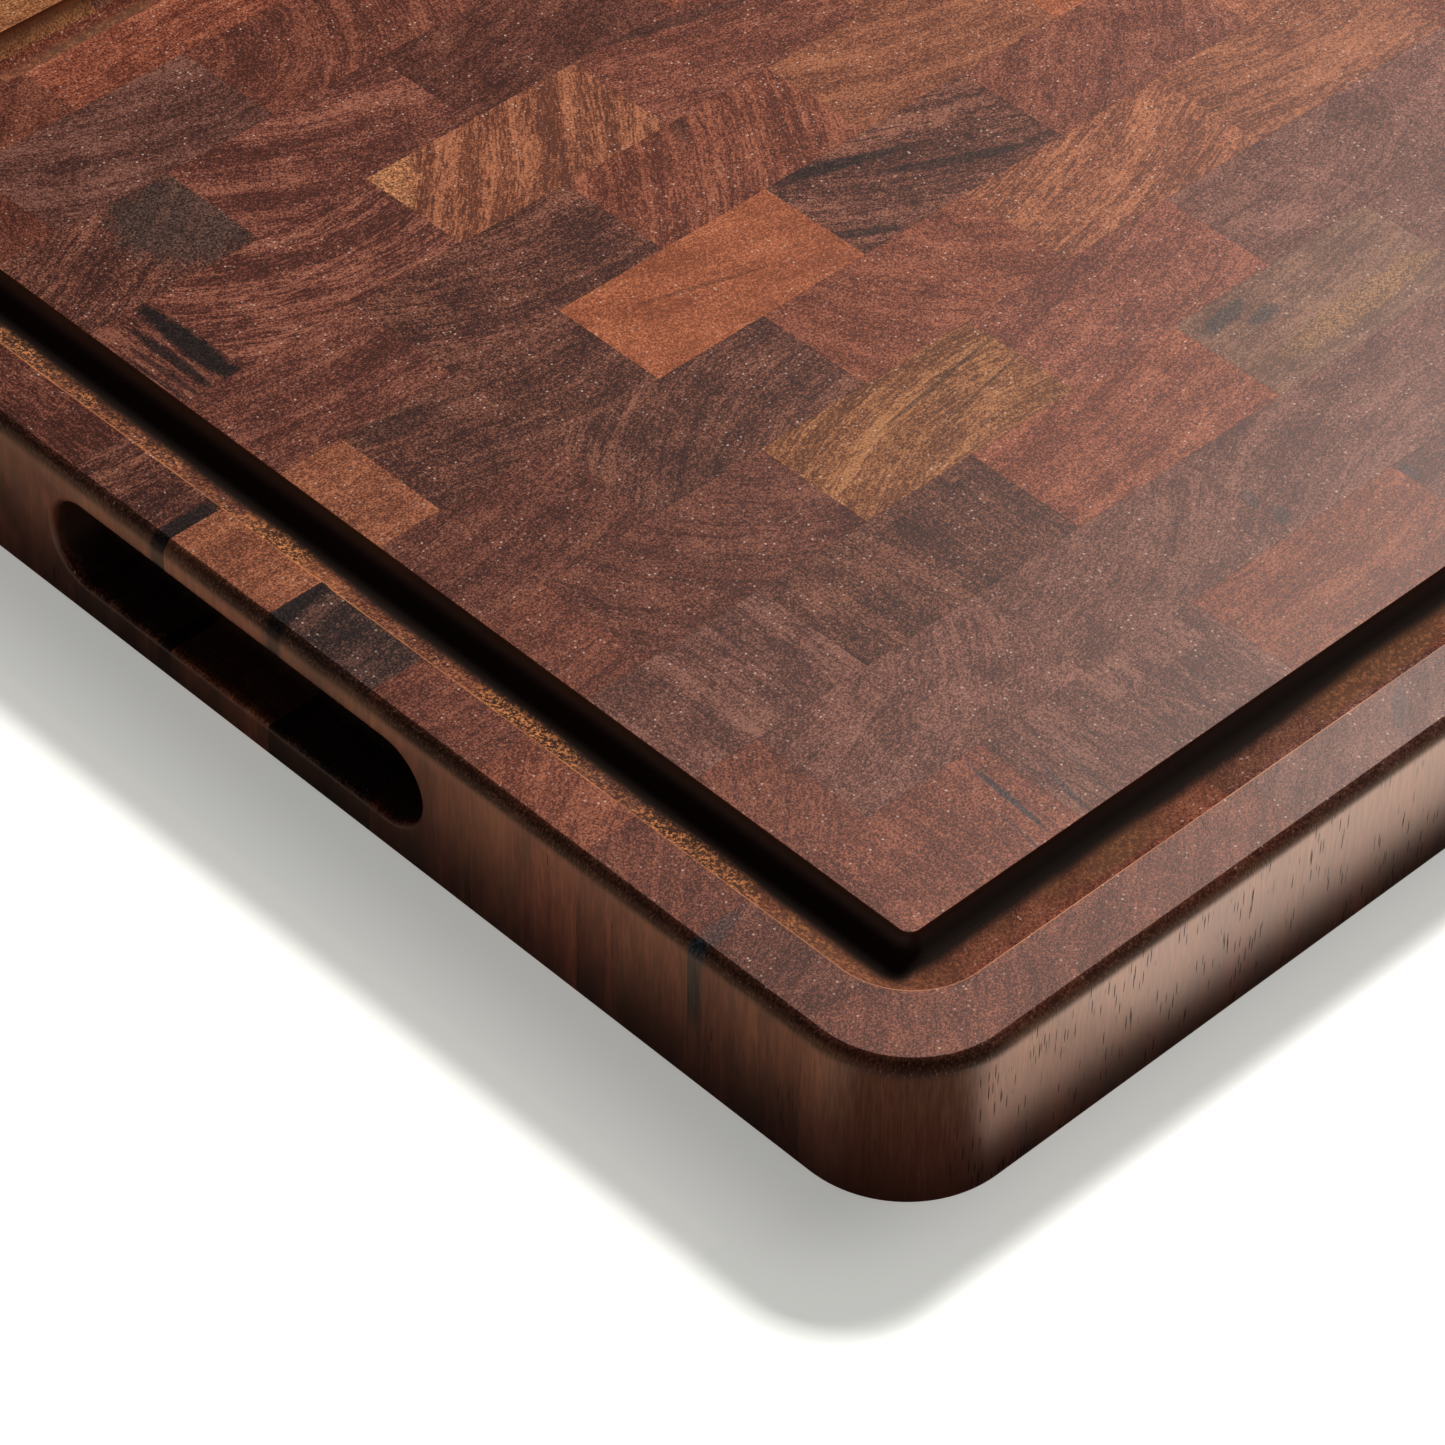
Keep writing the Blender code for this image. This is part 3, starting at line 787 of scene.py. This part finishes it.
def block_material(block, groups):
    """One block's own wood: its rings, then the board's finish with its painted shade, then the block's
    streaks.
    """
    key = (block.row, block.number)
    grain = SEEN.get(key) or unseen_grain(*key)
    wood = WOODS[grain.wood]
    material = bpy.data.materials.new(f"wood_{block.row:02d}_{block.number:02d}")
    material.use_nodes = True
    tree = Tree(material.node_tree)
    position = tree.in_millimetres(tree.node("ShaderNodeTexCoord").outputs["Object"])
    normal = tree.node("ShaderNodeNewGeometry").outputs["Normal"]
    upright = tree.step(tree.math("ABSOLUTE", tree.split(normal)["Z"]), 0.75, 0.25)
    place = {"Position": position, "Upright": upright}
    rings = tree.group(groups["wood"], place | ring_values(block, grain, wood))
    bare_wood = {label: rings[label] for label in ("Color", "Speck", "Pore")}
    finish_with_shade = tree.group(groups["finish_with_shade"], place | bare_wood)
    color = finish_with_shade["Color"]
    for stain, streak in STREAKS.get(key, ()):
        under = {"Color": color, "Position": position, "Speck": rings["Speck"]}
        color = tree.group(groups["streak"], under | streak_values(stain, streak))["Color"]
    bump = tree.node("ShaderNodeBump", {"Height": finish_with_shade["Height"], "Strength": RELIEF_STRENGTH,
                                        "Distance": RELIEF})
    tree.feed(material.node_tree.nodes["Principled BSDF"], {
        "Base Color": color, "Roughness": finish_with_shade["Roughness"], "Normal": bump.outputs["Normal"],
        "Specular IOR Level": SPECULAR, "Specular Tint": GLOSS_TINT,
        "Coat Weight": finish_with_shade["Coat"], "Coat Roughness": COAT_ROUGHNESS, "Coat Tint": COAT_TINT})
    return material, wood.slot


def build_blocks():
    """Cuts every block from the board form and gives it its wood."""
    groups = {"wood": wood_group(), "streak": streak_group(), "finish_with_shade": finish_and_shade_group()}
    form = board_form()
    for block in layout():
        cutter = prism(block.low, block.high)
        mesh = boolean(form, cutter, "INTERSECT")
        discard(cutter)
        shade(mesh)
        name = f"block_{block.row:02d}_{block.number:02d}"
        mesh.name = name
        piece = bpy.data.objects.new(name, mesh)
        bpy.context.scene.collection.objects.link(piece)
        material, slot = block_material(block, groups)
        mesh.materials.clear()
        mesh.materials.append(material)
        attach(piece, "root")
        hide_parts(block.node)
    discard(form)


# ---------------------------------------------------------------- floor, light and camera

FLOOR_SIZE = 14.0
FLOOR_GAP = 0.2 * MM
FLOOR_COLORS = (0.80, 0.805, 0.775, 1), (0.82, 0.825, 0.795, 1)
FLOOR_GLOW = 0.475
FLOOR_GLOW_COLOR = (1.0, 1.0, 0.95, 1)
CONTACT_SHADE = 0.30
CONTACT_REACH = 30.0
WORLD_LIGHT = 0.08

# The camera's place and the key light's direction are from the board's near left corner, in
# metres. Turns are in degrees.
CAMERA_FROM_CORNER = (-0.530, -0.488, 0.773)
CAMERA_HEADING = 44.56
CAMERA_PITCH = 43.30
CAMERA_ROLL = 1.04
CAMERA_LENS = 145.2
SENSOR = 36.0
KEY_FROM_CORNER = (0.94, 0.44, 1.0)
KEY_DISTANCE = 2.4
KEY_SIZE = 0.42
KEY_POWER = 108.0
KEY_COLOR = (1.0, 0.985, 0.96)

# The bright card along the front side, and the dark and brown ones seen in the gloss
CARD_LENGTH = 0.9
CARD_WIDTH = 0.20
CARD_GAP = 0.009
CARD_LIFT = 2 * MM
CARD_POWER = 1.09
CARD_COLOR = (1.0, 0.785, 0.63)
DARK_CARD_LEFT = 0.022
DARK_CARD_FRONT = 0.008
GLOSS_CARD_LIFT = 0.3 * MM
CARD_DISC_RADIUS = 0.064
CARD_DISC_STEPS = 64
BROWN_CARD_WIDTH = 0.15
BLACK_CARD = (0, 0, 0, 1)
BROWN_CARD = (0.74, 0.45, 0.29, 1)


def floor():
    """The plain pale surface that the board lies on. It glows a little, as if lit from below,
    but less close to the board, except along the front side."""
    half = FLOOR_SIZE / 2
    corners = ((-half, -half), (half, -half), (half, half), (-half, half))
    mesh = bpy.data.meshes.new("floor")
    mesh.from_pydata([(x, y, LOW.z - FLOOR_GAP) for x, y in corners], [], [(0, 1, 2, 3)])
    plane = bpy.data.objects.new("floor", mesh)
    bpy.context.scene.collection.objects.link(plane)
    material = bpy.data.materials.new("floor_white")
    material.use_nodes = True
    tree = Tree(material.node_tree)
    at = tree.node("ShaderNodeTexCoord").outputs["Object"]
    tint = tree.mix(tree.noise(at, 3.0), *FLOOR_COLORS)
    position = tree.in_millimetres(at)
    inset = round_box_distance(tree, position, HALF_X / MM, HALF_Y / MM, CORNER_RADIUS / MM)
    near = tree.step(inset, -CONTACT_REACH, 0.0)
    beyond_front = tree.minus(LOW.y / MM, tree.split(position)["Y"])
    near = tree.times(near, tree.minus(1.0, tree.step(beyond_front, -20.0, 15.0)))
    shaded = tree.minus(1.0, tree.times(near, CONTACT_SHADE))
    tree.feed(material.node_tree.nodes["Principled BSDF"], {
        "Base Color": tint, "Roughness": 0.55, "Specular IOR Level": 0.2,
        "Emission Color": FLOOR_GLOW_COLOR, "Emission Strength": tree.times(shaded, FLOOR_GLOW)})
    mesh.materials.append(material)
    plane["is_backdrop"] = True


def area_light(name, place, target, width, length, power, color):
    """A soft rectangular light at a place, shining at a target. It isn't seen itself."""
    lamp = bpy.data.lights.new(name, "AREA")
    lamp.shape = "RECTANGLE"
    lamp.size = length
    lamp.size_y = width
    lamp.energy = power
    lamp.color = color
    light = bpy.data.objects.new(name, lamp)
    bpy.context.scene.collection.objects.link(light)
    light.location = place
    light.rotation_euler = (Vector(target) - Vector(place)).to_track_quat("-Z", "Y").to_euler()
    light.visible_camera = False
    return light


def lights():
    """A key light behind the board to the right, whose gloss falls on the right of the top, a
    bright card on the floor along the front side, seen only in the gloss, and a faint sky."""
    corner = Vector((LOW.x, LOW.y, TOP))
    key_place = corner + Vector(KEY_FROM_CORNER).normalized() * KEY_DISTANCE
    area_light("key_light", key_place, MIDDLE, KEY_SIZE, KEY_SIZE, KEY_POWER, KEY_COLOR)
    card_place = Vector((LOW.x + CORNER_RADIUS + CARD_LENGTH / 2,
                         LOW.y - CARD_GAP - CARD_WIDTH / 2, LOW.z + CARD_LIFT))
    above_card = card_place + Vector((0, 0, 1))
    front_card = area_light("front_card", card_place, above_card, CARD_WIDTH, CARD_LENGTH,
                            CARD_POWER, CARD_COLOR)
    front_card.visible_diffuse = False
    world = bpy.data.worlds.new("studio")
    world.use_nodes = True
    background = world.node_tree.nodes["Background"]
    background.inputs["Color"].default_value = (1.0, 1.0, 1.0, 1)
    background.inputs["Strength"].default_value = WORLD_LIGHT
    bpy.context.scene.world = world
    bpy.context.scene.view_settings.view_transform = "Standard"


def floor_card(name, outlines, color):
    """A card lying on the floor that is seen in the gloss of the wood, and in nothing else."""
    mesh = bpy.data.meshes.new(name)
    points = [(x, y, LOW.z + GLOSS_CARD_LIFT) for outline in outlines for x, y in outline]
    faces = []
    for outline in outlines:
        first = sum(len(face) for face in faces)
        faces.append(tuple(range(first, first + len(outline))))
    mesh.from_pydata(points, [], faces)
    card = bpy.data.objects.new(name, mesh)
    bpy.context.scene.collection.objects.link(card)
    material = bpy.data.materials.new(name)
    material.use_nodes = True
    Tree(material.node_tree).feed(material.node_tree.nodes["Principled BSDF"], {
        "Base Color": (0.01, 0.01, 0.01, 1), "Emission Color": color, "Emission Strength": 1.0})
    mesh.materials.append(material)
    card.visible_camera = False
    card.visible_diffuse = False
    card.visible_shadow = False
    card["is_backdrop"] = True


def floor_cards():
    """Dark cards close to the left side, the front side and the near corner, and a brown one
    further out on the left, which warms the gloss along the top of that side."""
    start_x, start_y = LOW.x + CORNER_RADIUS, LOW.y + CORNER_RADIUS
    circle = arc((0, 0), CARD_DISC_RADIUS, 0, 360, CARD_DISC_STEPS)[:-1]
    corner = [(start_x + x, start_y + y) for x, y in circle]
    left_edge = LOW.x - DARK_CARD_LEFT
    front_edge = LOW.y - DARK_CARD_FRONT
    far_edge = left_edge - BROWN_CARD_WIDTH
    left = [(left_edge, start_y), (MIDDLE.x, start_y), (MIDDLE.x, HIGH.y), (left_edge, HIGH.y)]
    front = [(start_x, front_edge), (HIGH.x, front_edge), (HIGH.x, MIDDLE.y), (start_x, MIDDLE.y)]
    brown = [(far_edge, start_y), (left_edge, start_y), (left_edge, HIGH.y), (far_edge, HIGH.y)]
    floor_card("dark_card", [corner, left, front], BLACK_CARD)
    floor_card("brown_card", [brown], BROWN_CARD)


def camera():
    """The camera looks down at the board's near left corner."""
    data = bpy.data.cameras.new("camera")
    data.sensor_width = SENSOR
    data.lens = CAMERA_LENS
    data.clip_end = 100
    shape = bpy.data.objects.new("camera", data)
    bpy.context.scene.collection.objects.link(shape)
    shape.location = Vector((LOW.x, LOW.y, TOP)) + Vector(CAMERA_FROM_CORNER)
    turn = Euler((math.radians(90 - CAMERA_PITCH), 0, math.radians(-CAMERA_HEADING))).to_matrix()
    roll = Euler((0, 0, math.radians(CAMERA_ROLL))).to_matrix()
    shape.rotation_euler = (turn @ roll).to_euler()
    bpy.context.scene.camera = shape


build_blocks()
floor()
floor_cards()
lights()
camera()
